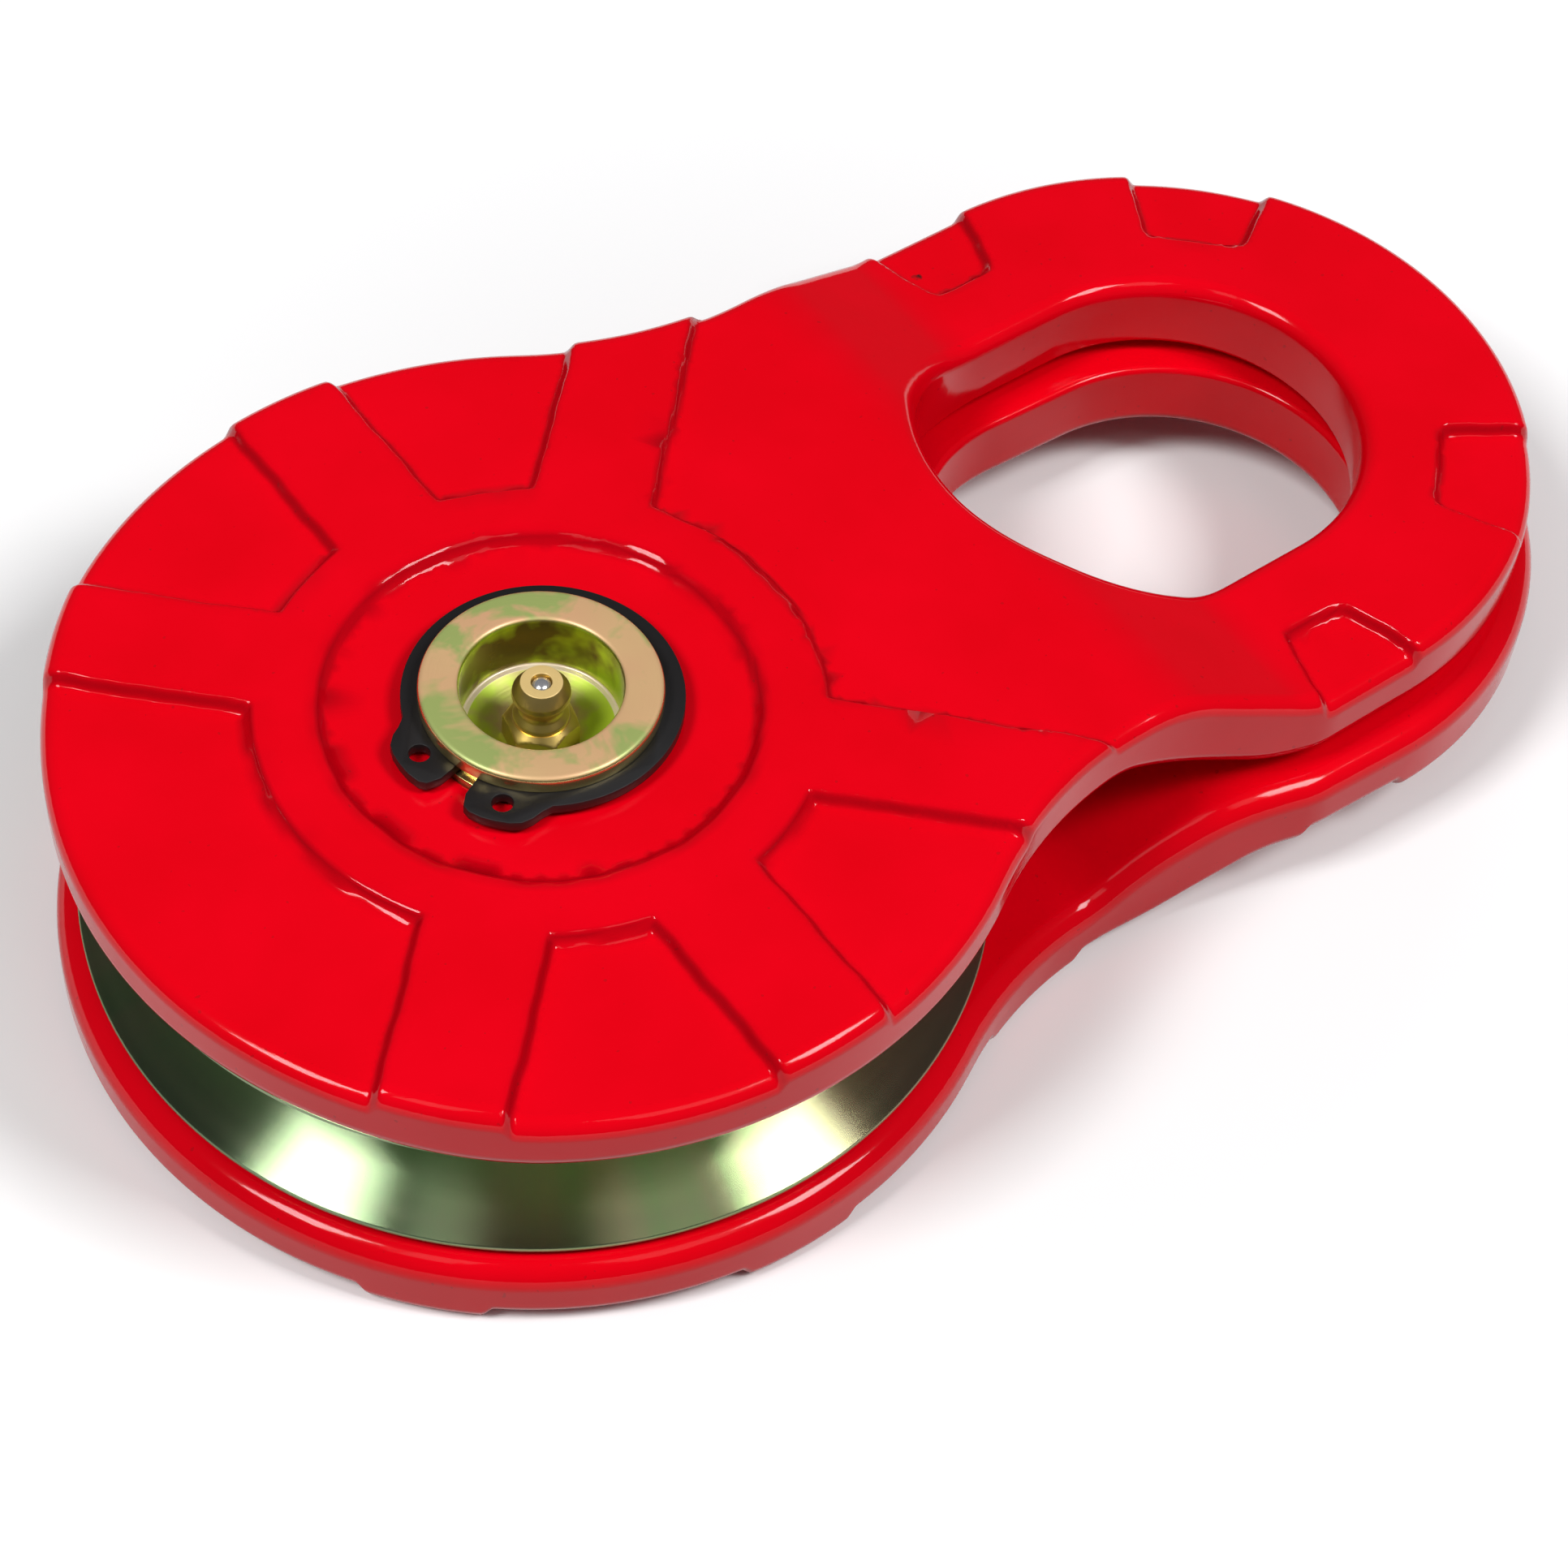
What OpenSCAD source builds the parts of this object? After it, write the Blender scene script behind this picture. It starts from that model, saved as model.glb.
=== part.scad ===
// Snatch block with a swing cheek: two forged, joggled side plates on a hollow axle
// pin, a grooved sheave between them, a bronze bush, a retaining ring and a grease nipple.
// Millimetres. +Z up: the block lies on the raised face of its lower plate at z = 0.
// The axle is the Z axis, +X runs from the axle to the shackle eye, and y = 0 is the
// plane of symmetry of both plates.

/* [Side plates] */
// Outer radius of the large lobe round the axle
lobe_radius = 58.2; // [57:0.1:60]
// Thickness of the lobe from its raised outer face to its inner face
plate_thickness = 10.2; // [9.5:0.1:11]
// Distance between the inner faces of the two lobes
sheave_gap = 21.8; // [20:0.2:24]
// Depth of the relief panels, the hub recess and the eye notches
relief_depth = 1.6; // [1:0.1:2.2]
// Radius of the raised ring round the hub, where the relief panels start
ring_radius = 33.5; // [31:0.5:36]
// Radius of the round recess about the axle
hub_recess_radius = 25.5; // [23.5:0.5:27]
// Half the width of each raised spoke
spoke_half_width = 7.3; // [5:0.1:8.5]
// Fillet radius on the edges of the outer faces
outer_edge_radius = 2; // [1:0.1:2.5]
// Fillet radius on the edges of the inner faces of the lobes
inner_edge_radius = 3.3; // [2:0.1:4]

/* [Waist] */
// Distance from the axle to the narrowest part of the waist
waist_x = 57.5; // [56:0.1:59]
// Half the width of the waist at its narrowest part
waist_half_width = 42; // [41:0.1:43]
// Slope of the straight edge between the waist and the eye lobe, in degrees
flare_angle = 12.5; // [11:0.5:14]

/* [Eye] */
// Drop from the raised face of the large lobe to the outer face of the eye lobe
eye_drop = 10.5; // [9:0.1:11.5]
// Drop from the raised face of the lower lobe to the outer face of its eye lobe
lower_eye_drop = 8.4; // [7.5:0.1:9.5]
// Thickness of both eye lobes
eye_thickness = 10.7; // [9:0.1:11]
// Angle by which the lower plate stands turned under the upper one, in degrees
lower_plate_turn = -2.2; // [-5:0.1:5]
// Radius of both rounded ends of the eye
eye_radius = 24.3; // [22:0.1:26]
// Distance from the axle to the centre of the outer end of the eye
eye_outer_x = 98.9; // [97:0.1:100]
// Distance from the axle to the centre of the end of the eye nearer to the sheave
eye_inner_x = 86.3; // [85:0.1:90]
// Radius of the round end of the eye lobe
eye_lobe_radius = 46.8; // [45.5:0.1:48]
// Fillet radius on the outer edge of the eye
eye_edge_radius = 2; // [1:0.1:2.5]
// Fillet radius on the inner edge of the eye
eye_inner_edge_radius = 0.9; // [0.5:0.1:1.5]

/* [Joggle] */
// Distance from the axle to the start of the bend on the outer face
bend_outer_x = 59; // [58:0.1:60]
// Angle of the bend on the outer face, in degrees
bend_outer_angle = 25; // [23:0.5:28]
// Distance from the axle to the start of the bend on the inner face
bend_inner_x = 52; // [51.5:0.1:53]
// Angle of the bend on the inner face, in degrees
bend_inner_angle = 25; // [20:0.5:26]

/* [Sheave] */
// Outer radius of the sheave
sheave_radius = 55.4; // [54:0.1:55.6]
// Gap on each side between the rim of the sheave and the plates
rim_side_gap = 0.9; // [0.7:0.1:1.5]
// Gap on each side between the hub of the sheave and the plates
hub_side_gap = 0.2; // [0.1:0.05:0.4]
// Width of the flat lip on each edge of the rim
lip_width = 0.8; // [0.5:0.1:1.5]
// Radius of the rounded bottom of the rope groove
groove_radius = 5; // [4:0.1:6]
// Radius about the axle of the bottom of the rope groove
groove_bottom_radius = 39.5; // [38:0.5:42]
// Outer radius of the hub of the sheave
hub_radius = 26; // [24:0.5:28]

/* [Axle pin] */
// Radius of the axle pin
pin_radius = 14.3; // [14:0.1:15]
// Height of the end of the pin above the raised face of the upper plate
pin_stand_out = 3; // [2.4:0.1:4]
// Radius of the hollow in the end of the pin
pin_hollow_radius = 9.5; // [9:0.1:10]
// Depth of the straight wall of the hollow
pin_hollow_depth = 8; // [7:0.1:9]
// Radius of the pin's flanged head, sunk in the lower plate
head_radius = 20; // [18:0.5:22]
// Thickness of the pin's flanged head
head_thickness = 4.5; // [3.5:0.1:5]
// Radial clearance between the pin and the upper plate, and between the pin and the bush
running_clearance = 0.05; // [0.02:0.01:0.1]

/* [Retaining ring] */
// Thickness of the retaining ring
snap_thickness = 1.5; // [1.2:0.1:1.7]
// Radius of the groove that holds the ring
snap_groove_radius = 13.4; // [13.2:0.1:13.6]
// Radius of the outer edge of the ring
snap_outer_radius = 16.5; // [16:0.1:17]
// Direction of the opening between the ring's lugs, in degrees from +X
snap_opening_angle = 199; // [180:1:220]

/* [Bush and nipple] */
// Wall thickness of the bronze bush
bush_wall = 3.7; // [3:0.1:4.5]
// Distance across the flats of the nipple's hexagon
nipple_hexagon = 8; // [7:0.5:9]
// Largest radius of the nipple's head
nipple_head_radius = 3.28; // [3.2:0.01:3.3]
// Radius of the ball that closes the nipple
ball_radius = 1.45; // [1.3:0.05:1.6]
// Radius of the opening that the ball closes
ball_opening_radius = 1.25; // [1:0.05:1.25]
// Wire radius of the nipple's spring
wire_radius = 0.22; // [0.15:0.01:0.22]

/* [Hidden] */
eps = 0.05;
over = 30;
height = 2*plate_thickness + sheave_gap;
top_inner = height - plate_thickness;
floor_z = height - relief_depth;
reach = 2*lobe_radius;
eye_unit = eye_lobe_radius/46.8;
pin_unit = pin_radius/14.3;
ring_unit = snap_outer_radius/16.5;
nipple_unit = nipple_head_radius/3.28;
waist_radius = (pow(waist_x, 2) + pow(waist_half_width, 2) - pow(lobe_radius - eps, 2))
    / (2*(lobe_radius - eps - waist_half_width));
waist_y = waist_half_width + waist_radius;
waist_angle = atan2(waist_y, waist_x);
flare_x = waist_x + waist_radius*sin(flare_angle);
flare_y = waist_y - waist_radius*cos(flare_angle);
eye_side_x = flare_x + (eye_lobe_radius - flare_y)/tan(flare_angle);
rim_bottom = plate_thickness + rim_side_gap;
rim_top = top_inner - rim_side_gap;
hub_bottom = plate_thickness + hub_side_gap;
hub_top = top_inner - hub_side_gap;
pin_top = height + pin_stand_out;
hollow_z = pin_top - pin_hollow_depth;
snap_z = height - snap_thickness/2;
bush_radius = pin_radius + running_clearance + bush_wall;
nipple_seat = hollow_z - 2.1*pin_unit;
spring_seat = 3*nipple_unit;
ball_seat = 9.6*nipple_unit;
ball_z = nipple_seat + ball_seat - sqrt(pow(ball_radius, 2) - pow(ball_opening_radius, 2));
coil_radius = ball_radius - wire_radius - 0.15*nipple_unit;
middle_z = height/2;

// Points of an S-shaped step from one level to another: a bend of radius r1, a straight
// slope at angle a, and a bend of radius r2 back to level.
function step_line(x0, z0, z1, a, r1, r2, n = 8) =
    let (drop = z0 - z1, flat = drop - (r1 + r2)*(1 - cos(a)),
         xa = x0 + r1*sin(a), xb = xa + flat/tan(a), xc = xb + r2*sin(a))
    concat([for (i = [0:n]) [x0 + r1*sin(a*i/n), z0 - r1*(1 - cos(a*i/n))]],
           [for (i = [0:n]) [xc - r2*sin(a*(n - i)/n), z1 + r2*(1 - cos(a*(n - i)/n))]]);

function backwards(list) = [for (i = [len(list) - 1:-1:0]) list[i]];

// Side view of the upper plate: lobe, joggle and eye lobe.
module plate_side_view(eye_top, eye_bottom) {
    bend = eye_unit;
    outer_line = step_line(bend_outer_x, floor_z, eye_top, bend_outer_angle, 20*bend, 14*bend);
    inner_line = step_line(bend_inner_x, top_inner, eye_bottom, bend_inner_angle, 14*bend, 20*bend);
    length = eye_outer_x + eye_lobe_radius + 5;
    points = concat(
        [[-lobe_radius - 5, height], [bend_outer_x - 2, height], [bend_outer_x - 2, floor_z]],
        outer_line, [[length, eye_top], [length, eye_bottom]],
        backwards(inner_line), [[-lobe_radius - 5, top_inner]]);
    translate([0, reach, 0])
        rotate([90, 0, 0])
            linear_extrude(height = 2*reach)
                polygon(points);
}

// Outline of a side plate as seen from above.
module plate_plan() {
    lap_x = 1.005*lobe_radius*cos(waist_angle + 2.9);
    lap_y = 1.005*lobe_radius*sin(waist_angle + 2.9);
    difference() {
        union() {
            cylinder(h = height + over, r = lobe_radius, $fn = 144);
            translate([eye_outer_x, 0, 0])
                cylinder(h = height + over, r = eye_lobe_radius, $fn = 128);
            linear_extrude(height = height + over)
                polygon([[0, -0.7*lobe_radius], [lap_x, -lap_y], [flare_x, -flare_y - eps],
                         [eye_side_x, -eye_lobe_radius], [eye_outer_x, -eye_lobe_radius],
                         [eye_outer_x, eye_lobe_radius], [eye_side_x, eye_lobe_radius],
                         [flare_x, flare_y + eps], [lap_x, lap_y], [0, 0.7*lobe_radius]]);
        }
        for (side = [-1, 1])
            translate([waist_x, side*waist_y, -1])
                cylinder(h = height + over + 2, r = waist_radius, $fn = 144);
    }
}

// Cross-section removed from a convex edge at radius r and height z; up = 1 for an upper
// edge and -1 for a lower edge.
module convex_edge(r, z, f, up) {
    difference() {
        translate([r - f, up > 0 ? z - f : z - 3])
            square([f + 3, f + 3]);
        translate([r - f, z - up*f])
            circle(r = f + eps, $fn = 32);
    }
}

// Cross-section removed from an edge where the solid lies outside the radius r.
module concave_edge(r, z, f, up) {
    difference() {
        translate([r - 3, up > 0 ? z - f : z - 3])
            square([f + 3, f + 3]);
        translate([r + f, z - up*f])
            circle(r = f + eps, $fn = 32);
    }
}

// Rounding of the lobe's and the waist's edge at height z.
module lobe_edge(z, f, up, end_angle) {
    rotate([0, 0, waist_angle])
        rotate_extrude(angle = 360 - 2*waist_angle, $fn = 144)
            convex_edge(lobe_radius, z, f, up);
    translate([waist_x, waist_y, 0])
        rotate([0, 0, 180 + waist_angle])
            rotate_extrude(angle = 90 - waist_angle + end_angle, $fn = 144)
                concave_edge(waist_radius, z, f, up);
    translate([waist_x, -waist_y, 0])
        rotate([0, 0, 90 - end_angle])
            rotate_extrude(angle = 90 - waist_angle + end_angle, $fn = 144)
                concave_edge(waist_radius, z, f, up);
}

// Rounding of the round end and the straight sides of the eye lobe at height z.
module eye_lobe_edge(z, f, up) {
    translate([eye_outer_x, 0, 0])
        rotate([0, 0, -90])
            rotate_extrude(angle = 180, $fn = 128)
                convex_edge(eye_lobe_radius, z, f, up);
    translate([eye_side_x, 0, 0])
        rotate([90, 0, 90])
            linear_extrude(height = eye_outer_x - eye_side_x)
                for (side = [0, 1])
                    mirror([side, 0])
                        convex_edge(eye_lobe_radius, z, f, up);
}

// Rounding of the eye's outer end and straight sides at height z.
module eye_edge(z, f, up) {
    translate([eye_outer_x, 0, 0])
        rotate([0, 0, -90])
            rotate_extrude(angle = 180, $fn = 96)
                concave_edge(eye_radius, z, f, up);
    translate([eye_inner_x, 0, 0])
        rotate([90, 0, 90])
            linear_extrude(height = eye_outer_x - eye_inner_x)
                for (side = [0, 1])
                    mirror([side, 0])
                        concave_edge(eye_radius, z, f, up);
}

// Raised spokes that run from the ring round the hub to the rim.
module spokes() {
    for (angle = [45, 90, 135])
        rotate([0, 0, angle])
            translate([-reach, -spoke_half_width, 0])
                cube([2*reach, 2*spoke_half_width, height + over]);
}

// Panels between the spokes, open through the rim, and the neck recess.
module relief_panels() {
    difference() {
        translate([-reach, -reach, floor_z])
            cube([2*reach, 2*reach, over]);
        translate([0, 0, floor_z - 1])
            cylinder(h = over + 2, r = ring_radius, $fn = 96);
        spokes();
    }
}

// Four notches in the rim of the eye lobe; the corners are counted from the outer end of
// the eye.
module eye_notches(eye_top) {
    side_notch = [[-14.5, 54], [-14.1, 43], [-12.5, 36.2], [-10.7, 34.9], [-3.9, 35],
                  [-1.9, 36.4], [0.3, 44], [2.1, 54]];
    end_notch = [[31.5, 49], [23.7, 37], [19.5, 31], [19.7, 29.2], [27.1, 20.6],
                 [29.3, 20.2], [36.5, 24.6], [47.1, 32]];
    translate([eye_outer_x, 0, eye_top - relief_depth])
        for (side = [0, 1], corners = [side_notch, end_notch])
            mirror([0, side, 0])
                linear_extrude(height = over)
                    polygon([for (p = corners) p*eye_unit]);
}

module eye_hole() {
    for (x = [eye_inner_x, eye_outer_x])
        translate([x, 0, -1])
            cylinder(h = height + over, r = eye_radius, $fn = 96);
    translate([eye_inner_x, -eye_radius, -1])
        cube([eye_outer_x - eye_inner_x, 2*eye_radius, height + over]);
}

// A forged side plate in the position of the upper plate; drop is that of its eye lobe.
module side_plate(bore, drop) {
    eye_top = height - drop;
    eye_bottom = eye_top - eye_thickness;
    difference() {
        intersection() {
            plate_side_view(eye_top, eye_bottom);
            plate_plan();
        }
        relief_panels();
        eye_notches(eye_top);
        eye_hole();
        translate([0, 0, floor_z])
            cylinder(h = over, r = hub_recess_radius, $fn = 96);
        translate([0, 0, -1])
            cylinder(h = height + over, r = bore, $fn = 72);
        lobe_edge(height, outer_edge_radius, 1, 10);
        lobe_edge(floor_z, outer_edge_radius - 0.6, 1, 10);
        lobe_edge(top_inner, inner_edge_radius, -1, 2);
        eye_lobe_edge(eye_top, outer_edge_radius, 1);
        eye_lobe_edge(eye_bottom, inner_edge_radius, -1);
        eye_edge(eye_top, eye_edge_radius, 1);
        eye_edge(eye_bottom, eye_inner_edge_radius, -1);
    }
}

module upper_side_plate() {
    color([0.80, 0.01, 0.02])
        side_plate(pin_radius + running_clearance, eye_drop);
}

module lower_side_plate() {
    color([0.80, 0.01, 0.02])
        difference() {
            rotate([0, 0, lower_plate_turn])
                translate([0, 0, height])
                    mirror([0, 0, 1])
                        side_plate(pin_radius, lower_eye_drop);
            translate([0, 0, -1])
                cylinder(h = head_thickness + 1, r = head_radius + eps, $fn = 72);
        }
}

module sheave() {
    half = (rim_top - rim_bottom)/2;
    centre_r = groove_bottom_radius + groove_radius;
    mouth = half - lip_width;
    flank = 16;
    color([0.55, 0.50, 0.30])
        difference() {
            rotate_extrude($fn = 144)
                polygon(concat(
                    [[bush_radius, hub_bottom], [hub_radius, hub_bottom], [hub_radius + 1, rim_bottom + 2],
                     [centre_r - 3, rim_bottom + 2], [centre_r - 1, rim_bottom],
                     [sheave_radius, rim_bottom], [sheave_radius, middle_z - mouth]],
                    [for (i = [0:12])
                        let (t = -90 + flank + i*(180 - 2*flank)/12)
                        [centre_r - groove_radius*cos(t), middle_z + groove_radius*sin(t)]],
                    [[sheave_radius, middle_z + mouth], [sheave_radius, rim_top],
                     [centre_r - 1, rim_top], [centre_r - 3, rim_top - 2],
                     [hub_radius + 1, rim_top - 2], [hub_radius, hub_top], [bush_radius, hub_top]]));
        }
}

module sheave_bush() {
    color([0.62, 0.40, 0.16])
        difference() {
            translate([0, 0, hub_bottom])
                cylinder(h = hub_top - hub_bottom, r = bush_radius, $fn = 72);
            translate([0, 0, hub_bottom - 1])
                cylinder(h = hub_top - hub_bottom + 2, r = pin_radius + running_clearance, $fn = 72);
            translate([0, 0, middle_z - 2.5])
                cylinder(h = 5, r = pin_radius + 1, $fn = 72);
        }
}

module axle_pin() {
    bevel = 0.6*pin_unit;
    color([0.75, 0.62, 0.35])
        difference() {
            rotate_extrude($fn = 96)
                polygon([[0, 0], [head_radius - bevel, 0], [head_radius, bevel],
                         [head_radius, head_thickness], [pin_radius, head_thickness],
                         [pin_radius, snap_z - 0.05], [snap_groove_radius, snap_z - 0.05],
                         [snap_groove_radius, snap_z + snap_thickness + 0.05],
                         [pin_radius, snap_z + snap_thickness + 0.05], [pin_radius, pin_top - bevel],
                         [pin_radius - bevel, pin_top], [pin_hollow_radius + bevel, pin_top],
                         [pin_hollow_radius, pin_top - bevel], [pin_hollow_radius, hollow_z],
                         [pin_hollow_radius - 0.7*pin_unit, hollow_z], [5.4*pin_unit, nipple_seat],
                         [0, nipple_seat]]);
            translate([0, 0, nipple_seat - 6*nipple_unit])
                cylinder(h = 8*nipple_unit, r = 3.12*nipple_unit, $fn = 32);
            translate([0, 0, middle_z - 2*pin_unit])
                cylinder(h = nipple_seat - middle_z, r = 2*pin_unit, $fn = 24);
            translate([0, -2*pin_radius, middle_z])
                rotate([-90, 0, 0])
                    cylinder(h = 4*pin_radius, r = 2*pin_unit, $fn = 24);
        }
}

module retaining_ring() {
    color([0.03, 0.03, 0.035])
        rotate([0, 0, snap_opening_angle])
            translate([0, 0, snap_z])
                difference() {
                    union() {
                        translate([-0.4*ring_unit, 0, 0])
                            cylinder(h = snap_thickness, r = snap_outer_radius, $fn = 72);
                        for (side = [0, 1])
                            mirror([0, side, 0])
                                linear_extrude(height = snap_thickness)
                                    polygon([for (p = [[4, 13.6], [6.2, 16.6], [8, 18], [11, 18.8], [21, 19],
                                                       [30, 18.8], [34, 18], [43, 15.4], [40, 13.8]])
                                                 [p[1]*cos(p[0]), p[1]*sin(p[0])]*ring_unit]);
                    }
                    translate([0, 0, -1])
                        cylinder(h = snap_thickness + 2, r = snap_groove_radius + 0.02, $fn = 72);
                    translate([0, 0, -1])
                        linear_extrude(height = snap_thickness + 2)
                            polygon([[0, 0], [22, -22*tan(6)]*ring_unit, [22, 22*tan(6)]*ring_unit]);
                    for (side = [-1, 1])
                        rotate([0, 0, side*21.3])
                            translate([16.3*ring_unit, 0, -1])
                                cylinder(h = snap_thickness + 2, r = 1.25*ring_unit, $fn = 24);
                }
}

module grease_nipple() {
    z = nipple_seat;
    u = nipple_unit;
    body = [[0, -5.4], [2.6, -5.4], [3.1, -4.9], [3.1, 0.5], [3.5, 2.7], [3.52, 4.6], [3.3, 5.3],
            [2.95, 5.8], [2.95, 6.3], [3.28, 7.1], [3.28, 8.2], [3.05, 8.9], [2.4, 10.3], [0, 10.3]];
    color([0.75, 0.55, 0.25])
        difference() {
            union() {
                intersection() {
                    translate([0, 0, z])
                        rotate([0, 0, 17])
                            cylinder(h = 2.7*u, r = nipple_hexagon/2/cos(30), $fn = 6);
                    translate([0, 0, z])
                        cylinder(h = 2.7*u, r1 = nipple_hexagon/2 + 2.3*u, r2 = nipple_hexagon/2 - 0.1*u,
                                 $fn = 48);
                }
                translate([0, 0, z])
                    rotate_extrude($fn = 48)
                        polygon([for (p = body) p*u]);
            }
            translate([0, 0, z - 6*u])
                cylinder(h = 20*u, r = 0.8*u, $fn = 24);
            translate([0, 0, z + spring_seat])
                cylinder(h = ball_seat - spring_seat, r = ball_radius + 0.05, $fn = 32);
            translate([0, 0, z + ball_seat - u])
                cylinder(h = 4*u, r = ball_opening_radius, $fn = 32);
        }
}

module nipple_ball() {
    color([0.75, 0.75, 0.76])
        translate([0, 0, ball_z])
            sphere(r = ball_radius - 0.01, $fn = 32);
}

module nipple_spring() {
    turns = 4;
    steps = 14*turns;
    sides = 6;
    low = nipple_seat + spring_seat + wire_radius + 0.02;
    high = ball_z - sqrt(pow(ball_radius + wire_radius, 2) - pow(coil_radius, 2)) - 0.02;
    points = [for (i = [0:steps], k = [0:sides - 1])
        let (a = 360*turns*i/steps, b = 360*k/sides, r = coil_radius + wire_radius*cos(b))
        [r*cos(a), r*sin(a), low + (high - low)*i/steps + wire_radius*sin(b)]];
    faces = concat(
        [[for (k = [0:sides - 1]) k]],
        [for (i = [0:steps - 1], k = [0:sides - 1])
            [i*sides + k, (i + 1)*sides + k, (i + 1)*sides + (k + 1)%sides, i*sides + (k + 1)%sides]],
        [[for (k = [sides - 1:-1:0]) steps*sides + k]]);
    color([0.55, 0.55, 0.56])
        polyhedron(points = points, faces = faces, convexity = 8);
}

upper_side_plate();
lower_side_plate();
sheave();
sheave_bush();
axle_pin();
retaining_ring();
grease_nipple();
nipple_ball();
nipple_spring();
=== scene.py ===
import math

import bmesh
import bpy
import numpy as np
from mathutils import Matrix, Vector


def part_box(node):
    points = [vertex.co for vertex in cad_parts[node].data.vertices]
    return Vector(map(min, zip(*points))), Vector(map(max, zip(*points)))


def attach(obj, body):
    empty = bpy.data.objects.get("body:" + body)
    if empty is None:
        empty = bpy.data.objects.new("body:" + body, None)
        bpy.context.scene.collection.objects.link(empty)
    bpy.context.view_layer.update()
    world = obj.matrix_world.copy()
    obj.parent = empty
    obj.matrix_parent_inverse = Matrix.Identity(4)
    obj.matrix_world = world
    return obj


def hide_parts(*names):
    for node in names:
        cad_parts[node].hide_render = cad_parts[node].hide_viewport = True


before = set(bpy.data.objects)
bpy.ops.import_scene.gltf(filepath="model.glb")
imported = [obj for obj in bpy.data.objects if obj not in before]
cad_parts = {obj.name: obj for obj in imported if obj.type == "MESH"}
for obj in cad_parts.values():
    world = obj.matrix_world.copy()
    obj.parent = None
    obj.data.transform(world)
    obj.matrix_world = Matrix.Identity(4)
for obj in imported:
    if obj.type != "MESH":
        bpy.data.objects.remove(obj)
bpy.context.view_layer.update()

# Lengths are in millimetres up to the last step of each piece, which scales it to metres.
MM = 0.001

plate_low, plate_high = (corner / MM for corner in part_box("upper_side_plate"))
sheave_low, sheave_high = (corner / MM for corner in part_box("sheave"))
pin_low, pin_high = (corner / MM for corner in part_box("axle_pin"))

# Side plates, as forged: the raised face of the upper plate is at TOP.
TOP = plate_high.z
MIDDLE = TOP / 2
LOBE_RADIUS = -plate_low.x
PLATE_THICKNESS = 10.2
# The relief's height, the width of its sloping walls, and their fillets as a share of it. The
# wall of the hub recess is less steep than the others.
RELIEF = 1.6
RELIEF_WALL = 1.0
WALL_FILLET = 0.22
HUB_WALL_SHARE = 0.72
RING_RADIUS = 33.5
HUB_RECESS_RADIUS = 25.5
SPOKE_HALF_WIDTH = 7.3
SPOKE_ANGLES = (45, 90, 135)
OUTER_FILLET = 2.3
INNER_FILLET = 3.3
EYE_INNER_FILLET = 0.9
WAIST_X = 57.5
WAIST_HALF_WIDTH = 42.0
FLARE = math.radians(12.5)
EYE_RADIUS = 24.3
EYE_OUTER_X = 98.9
EYE_INNER_X = 86.3
EYE_LOBE_RADIUS = plate_high.x - EYE_OUTER_X
EYE_THICKNESS = 10.7
UPPER_EYE_DROP = 10.5
LOWER_EYE_DROP = 8.4
LOWER_TURN = math.radians(-2.2)
PIN_RADIUS = 14.3
BORE_RADIUS = PIN_RADIUS + 0.05
BORE_FILLET = 0.4
HEAD_RADIUS = pin_high.x
HEAD_THICKNESS = 4.5
HEAD_CLEARANCE = 0.2
INNER_FACE = TOP - PLATE_THICKNESS
OUTER_BEND = dict(start=59.0, angle=math.radians(25), first=20.0, last=14.0)
INNER_BEND = dict(start=52.0, angle=math.radians(25), first=14.0, last=20.0)
# The upper forging is slightly out of round on the side away from the eye: its rim lies this
# much further in there.
FLAT_SIDE = 1.0
# Length of the mesh's edges on the plates' faces: shortest at the relief, short along the
# joggle, and longest where the face is plain.
RELIEF_EDGE = 0.6
EDGE_GROWTH = 1.8
OUTER_JOGGLE, OUTER_JOGGLE_EDGE, OUTER_PLAIN_EDGE = (56, 88), 2.2, 5
INNER_JOGGLE, INNER_JOGGLE_EDGE, INNER_PLAIN_EDGE = (50, 82), 2.6, 7
REFINE_ROUNDS = 12
# Corners of two of the notches in the eye lobe, from the rim, along the inner wall and
# back to the rim. The other two are their mirror images.
NOTCHES = (
    ((84.3, 44.6), (86.7, 34.8), (96.3, 35.2), (98.8, 44.4)),
    ((122.3, 37.2), (117.7, 29.1), (127.7, 19.8), (135.1, 24.8)),
)


def ramp(distance, width):
    """0 outside a wall and 1 inside it: a straight slope with a small fillet at each end."""
    return soft_min(soft_max(distance / width + 0.5, 0, WALL_FILLET), 1, WALL_FILLET)


def soft_max(a, b, k):
    return 0.5 * (a + b + np.sqrt((a - b) ** 2 + k * k))


def soft_min(a, b, k):
    return -soft_max(-a, -b, k)


def bend(x, start, fall, angle, first, last):
    """Drop of an S-shaped joggle at x: an arc, a straight slope and an arc back to level."""
    sine, cosine = math.sin(angle), math.cos(angle)
    a = start + first * sine
    b = a + (fall - (first + last) * (1 - cosine)) / math.tan(angle)
    c = b + last * sine
    into = first - np.sqrt(np.maximum(first ** 2 - np.clip(x - start, 0, first * sine) ** 2, 0))
    slope = first * (1 - cosine) + (x - a) * math.tan(angle)
    out = fall - last + np.sqrt(np.maximum(last ** 2 - np.clip(c - x, 0, last * sine) ** 2, 0))
    return np.where(x < a, into, np.where(x < b, slope, out))


def wavy(x, y):
    """Points moved a little to and fro, as the edges of a forging and its paint wander."""
    wave, ripple = 0.10, 0.05
    across = (wave * np.sin(0.53 * y + 1.3 * np.sin(0.21 * x))
              + ripple * np.sin(1.37 * y + 0.61 * x + 2.0))
    along = (wave * np.sin(0.47 * x + 1.1 * np.sin(0.27 * y) + 0.7)
             + ripple * np.sin(1.21 * x - 0.73 * y))
    return x + across, y + along


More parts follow.
